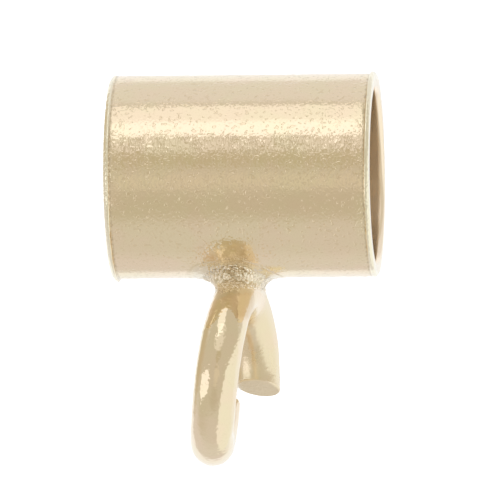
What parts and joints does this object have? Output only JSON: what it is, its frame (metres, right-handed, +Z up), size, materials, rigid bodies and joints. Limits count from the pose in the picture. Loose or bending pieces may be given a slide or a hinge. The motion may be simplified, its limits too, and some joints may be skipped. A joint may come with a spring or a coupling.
{
  "type": "clip-on slider bead",
  "caption": "Short open metal tube with a lip at each end and a sprung open wire ring soldered to its side, to slide on a cord and carry a charm.",
  "frame": {"origin": "middle of the barrel's hole, on its axis", "axes": "+X along the hole; +Z up as the bead lies on its side, on both end lips and the ring's lower strand; the ring points to -Y"},
  "size_m": [0.0078, 0.0117, 0.0062],
  "materials": {
    "gold_plate": "pale champagne gold plate, satin on the barrel, brighter on the ring"
  },
  "bodies": {
    "root": {"slider_bead": "gold_plate"}
  },
  "joints": []
}
